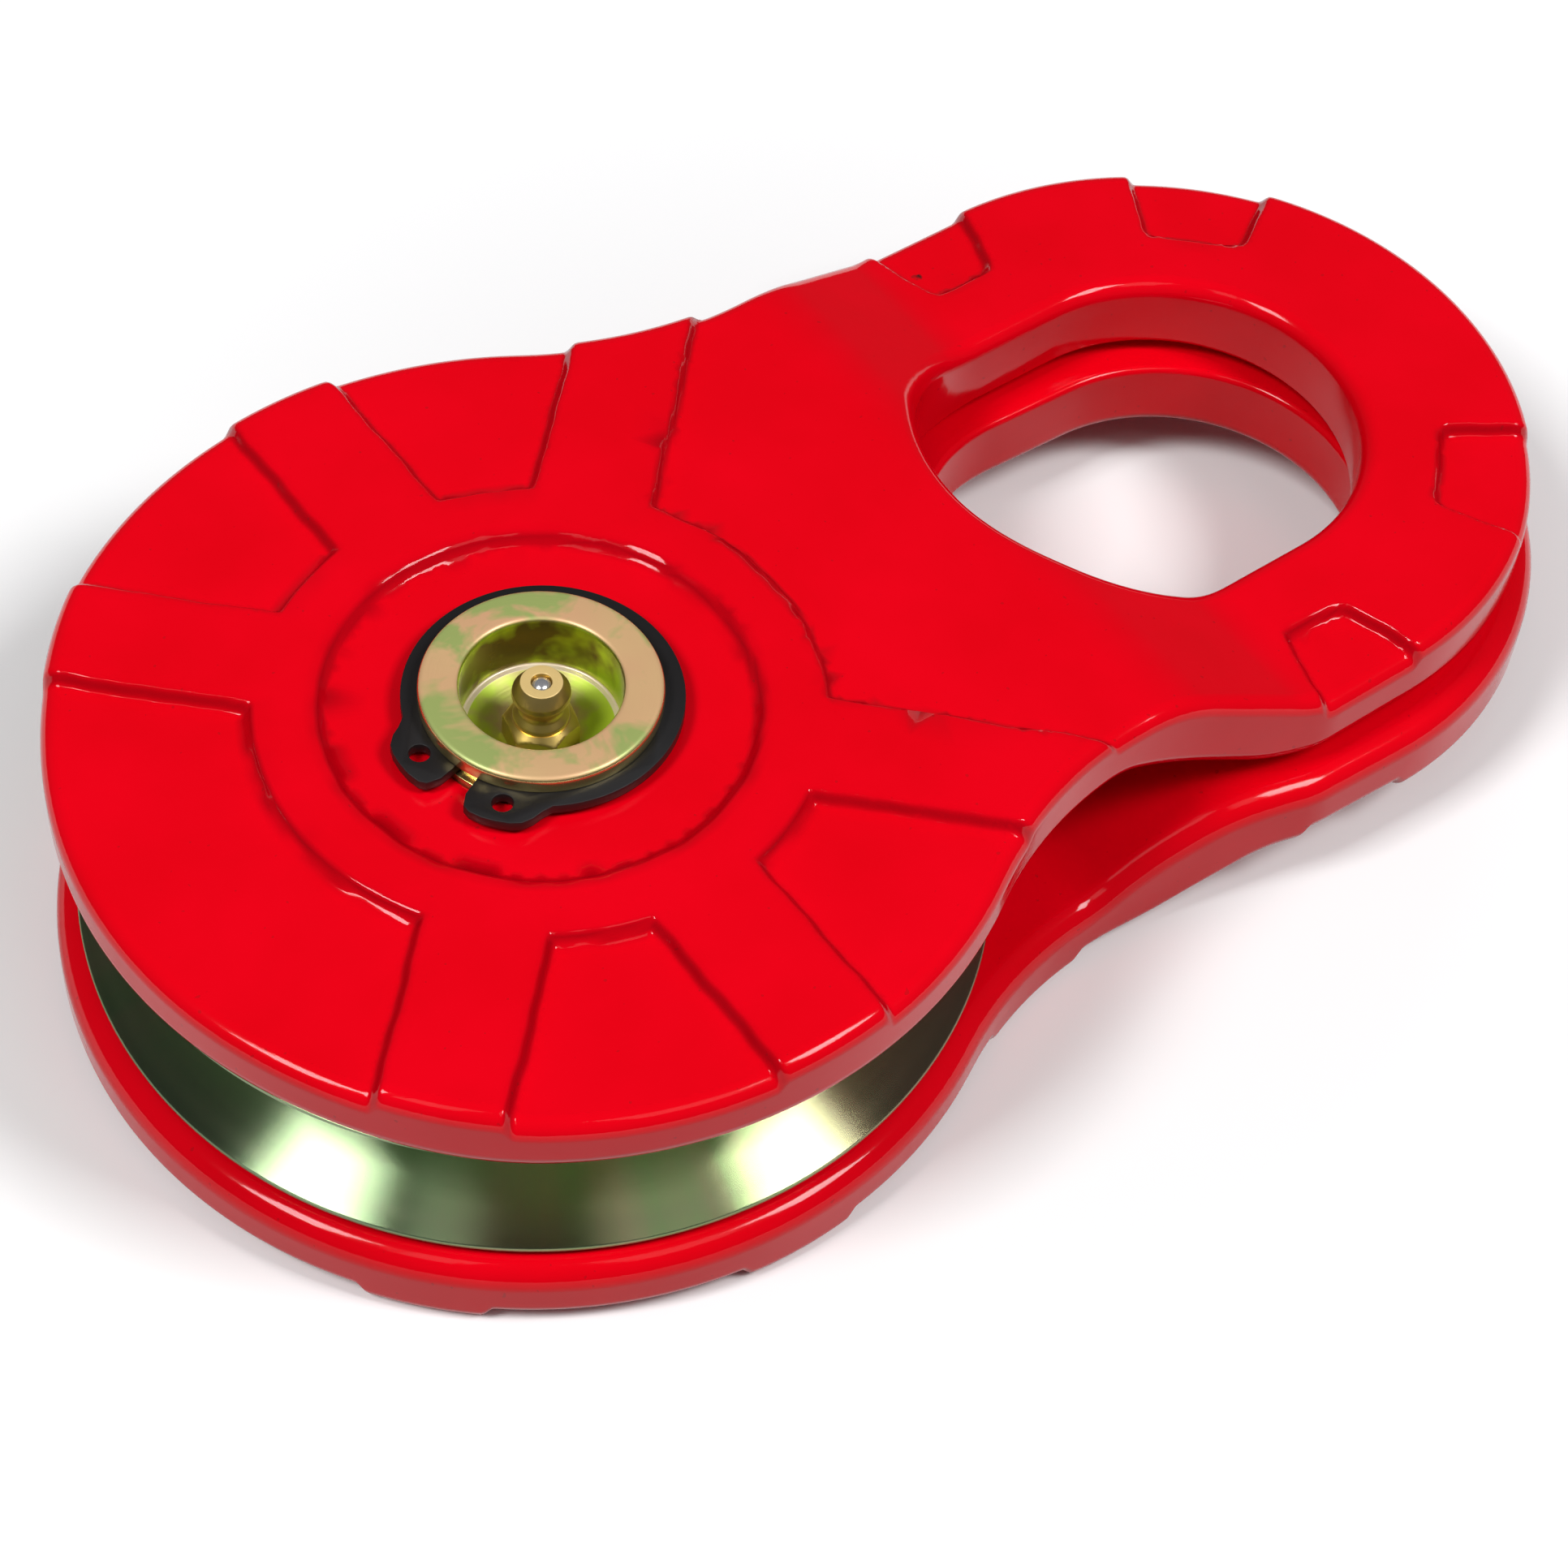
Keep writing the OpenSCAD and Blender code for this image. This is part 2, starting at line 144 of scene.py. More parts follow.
def inside_raised_ring(x, y):
    """How far a point lies inside the raised ring and its spokes, and below 0 outside them."""
    x, y = wavy(x, y)
    radius = np.hypot(x, y)
    distance = RING_RADIUS - radius
    for angle in SPOKE_ANGLES:
        off_axis = x * math.sin(math.radians(angle)) - y * math.cos(math.radians(angle))
        distance = soft_max(distance, SPOKE_HALF_WIDTH - np.abs(off_axis), 0.5)
    return soft_min(distance, (radius - HUB_RECESS_RADIUS) * HUB_WALL_SHARE, 0.3)


def inside_notch(x, y):
    """How far a point lies inside one of the notches round the eye, and below 0 outside."""
    x, y = wavy(x, y)
    across = np.abs(y)
    far = 1e3
    deepest = np.full(np.shape(x), -far)
    for corners in NOTCHES:
        centre = np.mean(corners, axis=0)
        distance = np.full(np.shape(x), far)
        for (ax, ay), (bx, by) in zip(corners, corners[1:]):
            nx, ny = ay - by, bx - ax
            length = math.hypot(nx, ny)
            nx, ny = nx / length, ny / length
            if nx * (centre[0] - ax) + ny * (centre[1] - ay) < 0:
                nx, ny = -nx, -ny
            distance = soft_min(distance, nx * (x - ax) + ny * (across - ay), 1.2)
        deepest = np.maximum(deepest, distance)
    return deepest


def outer_face(x, y, eye_drop, counterbore):
    """Height of the outer face of the plate, with the counterbore for the pin's head."""
    height = TOP - RELIEF - bend(x, fall=eye_drop - RELIEF, **OUTER_BEND)
    height = height + RELIEF * ramp(inside_raised_ring(x, y), RELIEF_WALL)
    height = height - RELIEF * ramp(inside_notch(x, y), RELIEF_WALL)
    if counterbore:
        depth = HEAD_THICKNESS - RELIEF
        height = height - depth * ramp(HEAD_RADIUS + HEAD_CLEARANCE - np.hypot(x, y), 0.3)
    return height


def painted_wall_shade(x, y):
    """1 halfway up a wall of the relief, where the enamel is darkened as painted shade, and 0 on
    flat faces.
    """
    spokes = ramp(inside_raised_ring(x, y), RELIEF_WALL)
    notches = ramp(inside_notch(x, y), RELIEF_WALL)
    return np.clip(4 * spokes * (1 - spokes) + 4 * notches * (1 - notches), 0, 1)


def inner_face(x, eye_drop):
    """Height of the inner face of the plate, which is plain but for the joggle."""
    return INNER_FACE - bend(x, fall=eye_drop + EYE_THICKNESS - PLATE_THICKNESS, **INNER_BEND)


def arc(centre, radius, start, end, step):
    """Points along an arc, without its last one, about a step apart."""
    count = max(2, round(radius * abs(end - start) / step))
    angles = np.linspace(start, end, count, endpoint=False)
    return np.array(centre) + radius * np.column_stack([np.cos(angles), np.sin(angles)])


def line(start, end, step):
    """Points along a straight line, without its last one, about a step apart."""
    count = max(1, round(math.dist(start, end) / step))
    t = np.linspace(0, 1, count, endpoint=False)[:, None]
    return np.array(start) * (1 - t) + np.array(end) * t


def plate_outline(step=0.4):
    """Outline of a side plate: round lobe, hollow waist, flared sides and round eye lobe."""
    radius = LOBE_RADIUS
    waist_reach = WAIST_X ** 2 + WAIST_HALF_WIDTH ** 2 - radius ** 2
    waist_radius = waist_reach / (2 * (radius - WAIST_HALF_WIDTH))
    waist_y = WAIST_HALF_WIDTH + waist_radius
    waist_turn = math.atan2(waist_y, WAIST_X)
    flare_start = (WAIST_X + waist_radius * math.sin(FLARE),
                   -waist_y + waist_radius * math.cos(FLARE))
    side_x = flare_start[0] + (EYE_LOBE_RADIUS + flare_start[1]) / math.tan(FLARE)
    half = np.vstack([
        arc((0, 0), radius, math.pi, 2 * math.pi - waist_turn, step),
        arc((WAIST_X, -waist_y), waist_radius, math.pi - waist_turn, math.pi / 2 - FLARE,
            step),
        line(flare_start, (side_x, -EYE_LOBE_RADIUS), step),
        line((side_x, -EYE_LOBE_RADIUS), (EYE_OUTER_X, -EYE_LOBE_RADIUS), step),
        arc((EYE_OUTER_X, 0), EYE_LOBE_RADIUS, -math.pi / 2, 0, step),
    ])
    tip = np.array([[EYE_OUTER_X + EYE_LOBE_RADIUS, 0]])
    return np.vstack([half, tip, half[:0:-1] * (1, -1)])


def eye_outline(step=0.6):
    """Outline of the hole for the shackle: two half circles joined by short straights."""
    right = arc((EYE_OUTER_X, 0), EYE_RADIUS, -math.pi / 2, math.pi / 2, step)
    top = line((EYE_OUTER_X, EYE_RADIUS), (EYE_INNER_X, EYE_RADIUS), step)
    left = arc((EYE_INNER_X, 0), EYE_RADIUS, math.pi / 2, math.pi * 1.5, step)
    bottom = line((EYE_INNER_X, -EYE_RADIUS), (EYE_OUTER_X, -EYE_RADIUS), step)
    return np.vstack([right, top, left, bottom])[::-1]


def softened(points, reach):
    """The closed loop with its corners rounded over a few points on each side."""
    window = range(-reach, reach + 1)
    return sum(np.roll(points, shift, axis=0) for shift in window) / (2 * reach + 1)


def outward(points):
    """Unit normals of a closed loop that has the solid on its left."""
    along = np.roll(points, -1, axis=0) - np.roll(points, 1, axis=0)
    along = along / np.linalg.norm(along, axis=1)[:, None]
    return np.column_stack([along[:, 1], -along[:, 0]])


# Turn of the surface round an edge, in degrees: -90 on the inner face, 0 on the wall and
# 90 on the outer face. A blank's points have a tenth of their turn as their height.
RIM_TURNS = (-90, -75, -60, -45, -30, -15, -0.01, 0.01, 15, 30, 45, 60, 75, 90)
TURN_TO_HEIGHT = 0.1


def closed_loop(bm, verts):
    return [bm.edges.new((a, b)) for a, b in zip(verts, verts[1:] + verts[:1])]


def extruded(bm, edges):
    """A new ring of edges next to the old one, and its points."""
    grown = bmesh.ops.extrude_edge_only(bm, edges=edges)["geom"]
    verts = {g for g in grown if isinstance(g, bmesh.types.BMVert)}
    ring = [g for g in grown if isinstance(g, bmesh.types.BMEdge)
            and g.verts[0] in verts and g.verts[1] in verts]
    return ring, verts


def add_rim(bm, layers, points, fillets):
    """Adds the wall of one loop, with the fillets to both faces, as extruded rings."""
    normals = outward(points)
    outer_fillet, inner_fillet = fillets

    def place(vert, turn):
        station = vert[layers["station"]]
        fillet = outer_fillet if turn > 0 else inner_fillet[station]
        inset = fillet * (1 - math.cos(math.radians(turn)))
        x, y = points[station] - normals[station] * inset
        vert.co = (x, y, turn * TURN_TO_HEIGHT)
        vert[layers["turn"]] = turn
        vert[layers["fillet"]] = fillet
        vert[layers["outward"]] = (*normals[station], 0)

    first = []
    for station in range(len(points)):
        vert = bm.verts.new((0, 0, 0))
        vert[layers["station"]] = station
        place(vert, RIM_TURNS[0])
        first.append(vert)
    inner_loop = outer_loop = closed_loop(bm, first)
    for turn in RIM_TURNS[1:]:
        outer_loop, verts = extruded(bm, outer_loop)
        for vert in verts:
            place(vert, turn)
    return inner_loop, outer_loop


def inner_edges(faces):
    return list({e for f in faces for e in f.edges if all(g in faces for g in e.link_faces)})


def refine_face(bm, faces, wanted_length):
    """Halves the inner edges of a flat face until they are as short as the relief needs."""
    for _ in range(REFINE_ROUNDS):
        inner = inner_edges(faces)
        ends = np.array([(*e.verts[0].co, *e.verts[1].co) for e in inner])
        middle = (ends[:, :3] + ends[:, 3:]) / 2
        length = np.linalg.norm(ends[:, :2] - ends[:, 3:5], axis=1)
        too_long = length > 1.4 * wanted_length(middle[:, 0], middle[:, 1])
        long_edges = [e for e, cut in zip(inner, too_long) if cut]
        if not long_edges:
            break
        outside = set(bm.faces) - faces
        bmesh.ops.subdivide_edges(bm, edges=long_edges, cuts=1)
        faces = set(bm.faces) - outside
        done = bmesh.ops.triangulate(bm, faces=list(faces), quad_method="BEAUTY",
                                     ngon_method="BEAUTY")
        faces = set(done["faces"]) | {f for f in faces if f.is_valid}
        bmesh.ops.beautify_fill(bm, faces=list(faces), edges=inner_edges(faces))
        faces = set(bm.faces) - outside


def plate_blank():
    """A side plate before it is pressed: rims, and flat faces that are fine along the relief."""
    bm = bmesh.new()
    layers = {
        "station": bm.verts.layers.int.new("station"),
        "turn": bm.verts.layers.float.new("turn"),
        "fillet": bm.verts.layers.float.new("fillet"),
        "outward": bm.verts.layers.float_vector.new("outward"),
    }
    rim = softened(plate_outline(), 4)
    eye = softened(eye_outline(), 1)
    bore = arc((0, 0), BORE_RADIUS, 2 * math.pi, 0, 0.7)
    loops = [
        add_rim(bm, layers, rim, (OUTER_FILLET, np.full(len(rim), INNER_FILLET))),
        add_rim(bm, layers, eye, (OUTER_FILLET, np.full(len(eye), EYE_INNER_FILLET))),
        add_rim(bm, layers, bore, (BORE_FILLET, np.full(len(bore), BORE_FILLET))),
    ]

    def outer_detail(x, y):
        nearest = np.minimum(np.abs(inside_raised_ring(x, y)), np.abs(inside_notch(x, y)))
        from_counterbore = np.abs(HEAD_RADIUS + HEAD_CLEARANCE - np.hypot(x, y))
        nearest = np.minimum(nearest, 0.8 + from_counterbore)
        wanted = RELIEF_EDGE + EDGE_GROWTH * (nearest - RELIEF_WALL / 2)
        wanted = np.clip(wanted, RELIEF_EDGE, OUTER_PLAIN_EDGE)
        low, high = OUTER_JOGGLE
        return np.where((x > low) & (x < high), np.minimum(wanted, OUTER_JOGGLE_EDGE), wanted)

    def inner_detail(x, y):
        low, high = INNER_JOGGLE
        return np.where((x > low) & (x < high), INNER_JOGGLE_EDGE, INNER_PLAIN_EDGE)

    for end, detail in ((0, inner_detail), (1, outer_detail)):
        before = set(bm.faces)
        edges = [e for loop in loops for e in loop[end]]
        bmesh.ops.triangle_fill(bm, use_beauty=True, edges=edges)
        refine_face(bm, set(bm.faces) - before, detail)
    mesh = bpy.data.meshes.new("plate_blank")
    bm.to_mesh(mesh)
    bm.free()
    return mesh


def forge_plate(blank, name, eye_drop, lower, body, cad_node):
    """A side plate pressed from the blank. The lower one is turned over and a little round."""
    mesh = blank.copy()
    mesh.name = name
    count = len(mesh.vertices)
    co = np.empty(count * 3)
    mesh.vertices.foreach_get("co", co)
    co = co.reshape(-1, 3)
    turn, fillet, side = np.empty(count), np.empty(count), np.empty(count * 3)
    mesh.attributes["turn"].data.foreach_get("value", turn)
    mesh.attributes["fillet"].data.foreach_get("value", fillet)
    mesh.attributes["outward"].data.foreach_get("vector", side)
    side = side.reshape(-1, 3)
    x, y = co[:, 0], co[:, 1]
    outer = co[:, 2] > 0
    on_face = np.abs(co[:, 2]) > 89.9 * TURN_TO_HEIGHT
    turn = np.radians(np.where(on_face, np.where(outer, 90, -90), turn))

    def height(px, py):
        return np.where(outer, outer_face(px, py, eye_drop, lower), inner_face(px, eye_drop))

    up = np.where(outer, 1, -1)
    step = 0.03
    tilt = np.column_stack([
        (height(x - step, y) - height(x + step, y)) / (2 * step),
        (height(x, y - step) - height(x, y + step)) / (2 * step),
        np.ones(count),
    ]) * up[:, None]
    tilt /= np.linalg.norm(tilt, axis=1)[:, None]
    normal = side * np.cos(turn)[:, None] + tilt * np.abs(np.sin(turn))[:, None]
    normal /= np.linalg.norm(normal, axis=1)[:, None]
    z = height(x, y) - up * fillet * (1 - np.abs(np.sin(turn))) * ~on_face
    # Painted shade: how far up a wall of the relief each point lies, kept as an attribute for the
    # enamel to darken.
    wall = np.where(outer, painted_wall_shade(x, y) * np.sin(turn), 0)
    if lower:
        z, normal[:, 2] = TOP - z, -normal[:, 2]
        cosine, sine = math.cos(LOWER_TURN), math.sin(LOWER_TURN)
        x, y = x * cosine - y * sine, x * sine + y * cosine
        nx, ny = normal[:, 0].copy(), normal[:, 1].copy()
        normal[:, 0], normal[:, 1] = nx * cosine - ny * sine, nx * sine + ny * cosine
    else:
        # The flat side fades in with the direction away from the eye, and towards the rim.
        radius = np.hypot(x, y)
        away = np.clip((-x / np.maximum(radius, 1) - 0.55) / 0.4, 0, 1)
        near_rim = np.clip((radius - 44) / 12, 0, 1)
        shrink = 1 - FLAT_SIDE / LOBE_RADIUS * away * away * (3 - 2 * away) * near_rim
        x, y = x * shrink, y * shrink
    mesh.vertices.foreach_set("co", (np.column_stack([x, y, z]) * MM).ravel())
    for layer in ("station", "turn", "fillet", "outward"):
        mesh.attributes.remove(mesh.attributes[layer])
    mesh.attributes.new("relief_wall_shade", "FLOAT", "POINT").data.foreach_set("value", wall)

    bm = bmesh.new()
    bm.from_mesh(mesh)
    bmesh.ops.recalc_face_normals(bm, faces=bm.faces)
    for face in bm.faces:
        face.smooth = True
    bm.to_mesh(mesh)
    bm.free()
    mesh.normals_split_custom_set_from_vertices(normal.tolist())
    add_piece(mesh, body, enamel, cad_node)


def add_piece(mesh, body, material, cad_node):
    """The finished mesh as an object that stands in for its CAD node."""
    piece = bpy.data.objects.new(mesh.name, mesh)
    bpy.context.scene.collection.objects.link(piece)
    mesh.materials.append(material)
    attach(piece, body)
    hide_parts(cad_node)


def finish_mesh(bm, name, sharp_angle=35):
    """A smooth-shaded mesh in metres, with its sharp edges marked."""
    bmesh.ops.recalc_face_normals(bm, faces=bm.faces)
    bmesh.ops.scale(bm, vec=(MM, MM, MM), verts=bm.verts)
    for face in bm.faces:
        face.smooth = True
    mesh = bpy.data.meshes.new(name)
    bm.to_mesh(mesh)
    bm.free()
    mesh.set_sharp_from_angle(angle=math.radians(sharp_angle))
    return mesh


def rounded(points, radii, segments=4):
    """A closed outline with each corner rounded to its radius."""
    out = []
    for i, (corner, radius) in enumerate(zip(points, radii)):
        corner = np.array(corner, float)
        if radius <= 0:
            out.append(tuple(corner))
            continue
        back = np.array(points[i - 1]) - corner
        ahead = np.array(points[(i + 1) % len(points)]) - corner
        back, ahead = back / np.linalg.norm(back), ahead / np.linalg.norm(ahead)
        half = math.acos(np.clip(back @ ahead, -1, 1)) / 2
        start = corner + back * radius / math.tan(half)
        end = corner + ahead * radius / math.tan(half)
        middle = back + ahead
        centre = corner + middle / np.linalg.norm(middle) * radius / math.sin(half)
        for k in range(segments + 1):
            along = start - centre + (end - start) * k / segments
            out.append(tuple(centre + along / np.linalg.norm(along) * radius))
    return out


def spun(profile, steps):
    """A closed (radius, height) profile spun about the axle."""
    bm = bmesh.new()
    verts = [bm.verts.new((r, 0, z)) for r, z in profile]
    edges = closed_loop(bm, verts)
    bmesh.ops.spin(bm, geom=verts + edges, cent=(0, 0, 0), axis=(0, 0, 1), angle=2 * math.pi,
                   steps=steps, use_merge=True, use_normal_flip=False, use_duplicate=False)
    return bm


def turned(name, profile, steps, body, material, cad_node):
    """A turned piece. Where its profile runs along the axle, the poles are closed."""
    bm = spun(profile, steps)
    bmesh.ops.remove_doubles(bm, verts=bm.verts, dist=0.0005)
    loose = [e for e in bm.edges if not e.link_faces]
    if loose:
        bmesh.ops.delete(bm, geom=loose, context="EDGES")
    add_piece(finish_mesh(bm, name), body, material, cad_node)


# Node groups -------------------------------------------------------------------------


def new_group(name, inputs, outputs):
    """A node group with sockets from rows of a label, a kind and a default."""
    group = bpy.data.node_groups.new(name, "ShaderNodeTree")
    for kind, direction in ((inputs, "INPUT"), (outputs, "OUTPUT")):
        for label, socket, default in kind:
            item = group.interface.new_socket(name=label, in_out=direction,
                                              socket_type="NodeSocket" + socket)
            if default is not None:
                item.default_value = default
    return group, group.nodes.new("NodeGroupInput"), group.nodes.new("NodeGroupOutput")


def node(tree, kind, **settings):
    made = tree.nodes.new("ShaderNode" + kind)
    for key, value in settings.items():
        setattr(made, key, value)
    return made


def join(tree, source, target):
    tree.links.new(source, target)


def maths(tree, operation, a, b=None, clamp=False):
    made = node(tree, "Math", operation=operation, use_clamp=clamp)
    for socket, value in zip(made.inputs, (a, b)):
        if value is None:
            continue
        if isinstance(value, (int, float)):
            socket.default_value = value
        else:
            join(tree, value, socket)
    return made.outputs[0]


def noise(tree, place, scale, detail=2.0, roughness=0.5, distortion=0.0):
    made = node(tree, "TexNoise")
    made.inputs["Scale"].default_value = scale
    made.inputs["Detail"].default_value = detail
    made.inputs["Roughness"].default_value = roughness
    made.inputs["Distortion"].default_value = distortion
    join(tree, place, made.inputs["Vector"])
    return made.outputs[0]


def stretch(tree, value, low, high, new_low=0.0, new_high=1.0):
    """The value spread from one range to another, and held at the ends."""
    made = node(tree, "MapRange", clamp=True)
    made.inputs["From Min"].default_value = low
    made.inputs["From Max"].default_value = high
    made.inputs["To Min"].default_value = new_low
    made.inputs["To Max"].default_value = new_high
    join(tree, value, made.inputs["Value"])
    return made.outputs[0]


def mix_colour(tree, factor, a, b):
    made = node(tree, "Mix", data_type="RGBA")
    for socket, value in ((made.inputs[0], factor), (made.inputs[6], a), (made.inputs[7], b)):
        if isinstance(value, tuple):
            socket.default_value = (*value, 1)
        elif isinstance(value, (int, float)):
            socket.default_value = value
        else:
            join(tree, value, socket)
    return made.outputs[2]


def uneven_surface():
    """Height and mask of fine waves and specks, for paint and plating alike."""
    group, given, out = new_group(
        "uneven_surface",
        (("Vector", "Vector", None), ("Wave Scale", "Float", 200.0),
         ("Speck Scale", "Float", 900.0)),
        (("Height", "Float", None), ("Mottle", "Float", None), ("Specks", "Float", None)))
    waves = node(group, "TexNoise")
    waves.inputs["Detail"].default_value = 1.5
    join(group, given.outputs["Vector"], waves.inputs["Vector"])
    join(group, given.outputs["Wave Scale"], waves.inputs["Scale"])
    broad = noise(group, given.outputs["Vector"], 45.0, 3.0, 0.6)
    specks = node(group, "TexNoise")
    specks.inputs["Detail"].default_value = 0.0
    join(group, given.outputs["Vector"], specks.inputs["Vector"])
    join(group, given.outputs["Speck Scale"], specks.inputs["Scale"])
    height = maths(group, "ADD", waves.outputs[0], maths(group, "MULTIPLY", broad, 0.6))
    join(group, height, out.inputs["Height"])
    join(group, stretch(group, broad, 0.35, 0.65), out.inputs["Mottle"])
    join(group, stretch(group, specks.outputs[0], 0.83, 0.85), out.inputs["Specks"])
    return group


def turned_lines():
    """Rings round the axle that a lathe tool leaves, the radius, and streaks by direction."""
    group, given, out = new_group(
        "turned_lines",
        (("Vector", "Vector", None), ("Pitch Scale", "Float", 2500.0)),
        (("Height", "Float", None), ("Tone", "Float", None), ("Radius", "Float", None),
         ("Around", "Float", None)))
    apart = node(group, "SeparateXYZ")
    join(group, given.outputs["Vector"], apart.inputs[0])
    square = maths(group, "ADD", maths(group, "MULTIPLY", apart.outputs[0], apart.outputs[0]),
                   maths(group, "MULTIPLY", apart.outputs[1], apart.outputs[1]))
    radius = maths(group, "SQRT", square)
    place = node(group, "CombineXYZ")
    join(group, radius, place.inputs[0])
    join(group, apart.outputs[2], place.inputs[2])
    fine = node(group, "TexNoise")
    fine.inputs["Detail"].default_value = 2.0
    join(group, place.outputs[0], fine.inputs["Vector"])
    join(group, given.outputs["Pitch Scale"], fine.inputs["Scale"])
    band = noise(group, place.outputs[0], 420.0, 2.0)
    join(group, fine.outputs[0], out.inputs["Height"])
    join(group, stretch(group, band, 0.3, 0.7), out.inputs["Tone"])
    join(group, radius, out.inputs["Radius"])
    direction = node(group, "CombineXYZ")
    join(group, maths(group, "DIVIDE", apart.outputs[0], radius), direction.inputs[0])
    join(group, maths(group, "DIVIDE", apart.outputs[1], radius), direction.inputs[1])
    streaks = noise(group, direction.outputs[0], 7.0, 5.0, 0.62)
    join(group, stretch(group, streaks, 0.36, 0.64), out.inputs["Around"])
    return group


SURFACE = uneven_surface()
LATHE = turned_lines()


def start_material(name, roughness, metallic=0.0):
    """A new material with its shader, and the place on the piece that its patterns follow."""
    material = bpy.data.materials.new(name)
    material.use_nodes = True
    tree = material.node_tree
    shader = tree.nodes["Principled BSDF"]
    shader.inputs["Roughness"].default_value = roughness
    shader.inputs["Metallic"].default_value = metallic
    place = node(tree, "TexCoord").outputs["Object"]
    return material, tree, shader, place


def use_group(tree, group, place, **values):
    made = node(tree, "Group", node_tree=group)
    join(tree, place, made.inputs["Vector"])
    for label, value in values.items():
        made.inputs[label.replace("_", " ")].default_value = value
    return made


def add_bump(tree, shader, height, distance, strength=1.0):
    bump = node(tree, "Bump")
    bump.inputs["Distance"].default_value = distance
    bump.inputs["Strength"].default_value = strength
    join(tree, height, bump.inputs["Height"])
    join(tree, bump.outputs[0], shader.inputs["Normal"])


def red_enamel():
    """Glossy red enamel with a faint orange peel, a few dark specks, one chip, and painted shade
    on the walls of the relief.
    """
    material, tree, shader, place = start_material("red_enamel", 0.16)
    skin = use_group(tree, SURFACE, place, Wave_Scale=420.0, Speck_Scale=1300.0)
    colour = mix_colour(tree, skin.outputs["Mottle"], RED_DEEP, RED)
    # Painted shade: the red is darker halfway up the walls of the relief.
    wall = node(tree, "Attribute", attribute_name="relief_wall_shade")
    wall_shade = maths(tree, "MULTIPLY", wall.outputs["Fac"], 0.62)
    colour = mix_colour(tree, wall_shade, colour, RED_WALL_SHADE)
    specks = maths(tree, "MULTIPLY", skin.outputs["Specks"], 0.25)
    colour = mix_colour(tree, specks, colour, CHIP)
    away = node(tree, "VectorMath", operation="DISTANCE")
    wobbled = node(tree, "VectorMath", operation="ADD")
    shift = node(tree, "TexNoise")
    shift.inputs["Scale"].default_value = 900.0
    join(tree, place, shift.inputs["Vector"])
    scaled = node(tree, "VectorMath", operation="SCALE")
    scaled.inputs["Scale"].default_value = 0.0012
    join(tree, shift.outputs["Color"], scaled.inputs[0])
    join(tree, place, wobbled.inputs[0])
    join(tree, scaled.outputs[0], wobbled.inputs[1])
    join(tree, wobbled.outputs[0], away.inputs[0])
    away.inputs[1].default_value = CHIP_PLACE
    chip = stretch(tree, away.outputs["Value"], 0.0009, 0.0006)
    colour = mix_colour(tree, chip, colour, CHIP)
    join(tree, colour, shader.inputs["Base Color"])
    join(tree, stretch(tree, skin.outputs["Mottle"], 0, 1, 0.12, 0.07), shader.inputs["Roughness"])
    shader.inputs["Specular IOR Level"].default_value = 0.19
    height = maths(tree, "SUBTRACT", skin.outputs["Height"], maths(tree, "MULTIPLY", chip, 4.0))
    add_bump(tree, shader, height, 0.00002)
    return material


def chromated_zinc(name, pale, gold, green, roughness, anisotropy, pitch, bump):
    """Yellow-chromate zinc on turned steel: streaks of gold and green round the axle, and a
    green and a brown side."""
    material, tree, shader, place = start_material(name, roughness, 1.0)
    lathe = use_group(tree, LATHE, place, Pitch_Scale=pitch)
    colour = mix_colour(tree, lathe.outputs["Around"], gold, green)
    for azimuth, tint in ((200, SHEAVE_GREEN), (304, SHEAVE_BROWN)):
        toward = node(tree, "VectorMath", operation="DOT_PRODUCT")
        join(tree, place, toward.inputs[0])
        angle = math.radians(azimuth)
        toward.inputs[1].default_value = (math.cos(angle), math.sin(angle), 0)
        cosine = maths(tree, "DIVIDE", toward.outputs["Value"], lathe.outputs["Radius"])
        colour = mix_colour(tree, stretch(tree, cosine, 0.80, 0.97, 0, 0.85), colour, tint)
    colour = mix_colour(tree, maths(tree, "MULTIPLY", lathe.outputs["Tone"], 0.2), colour, pale)
    join(tree, colour, shader.inputs["Base Color"])
    join(tree, stretch(tree, lathe.outputs["Tone"], 0, 1, roughness - 0.02, roughness + 0.03),
         shader.inputs["Roughness"])
    shader.inputs["Anisotropic"].default_value = anisotropy
    shader.inputs["Anisotropic Rotation"].default_value = 0.25
    tangent = node(tree, "Tangent", direction_type="RADIAL", axis="Z")
    join(tree, tangent.outputs[0], shader.inputs["Tangent"])
    add_bump(tree, shader, lathe.outputs["Height"], bump)
    return material


def height_above(tree, place):
    """Height of the place above the plane that the block rests on."""
    apart = node(tree, "SeparateXYZ")
    join(tree, place, apart.inputs[0])
    return apart.outputs[2]


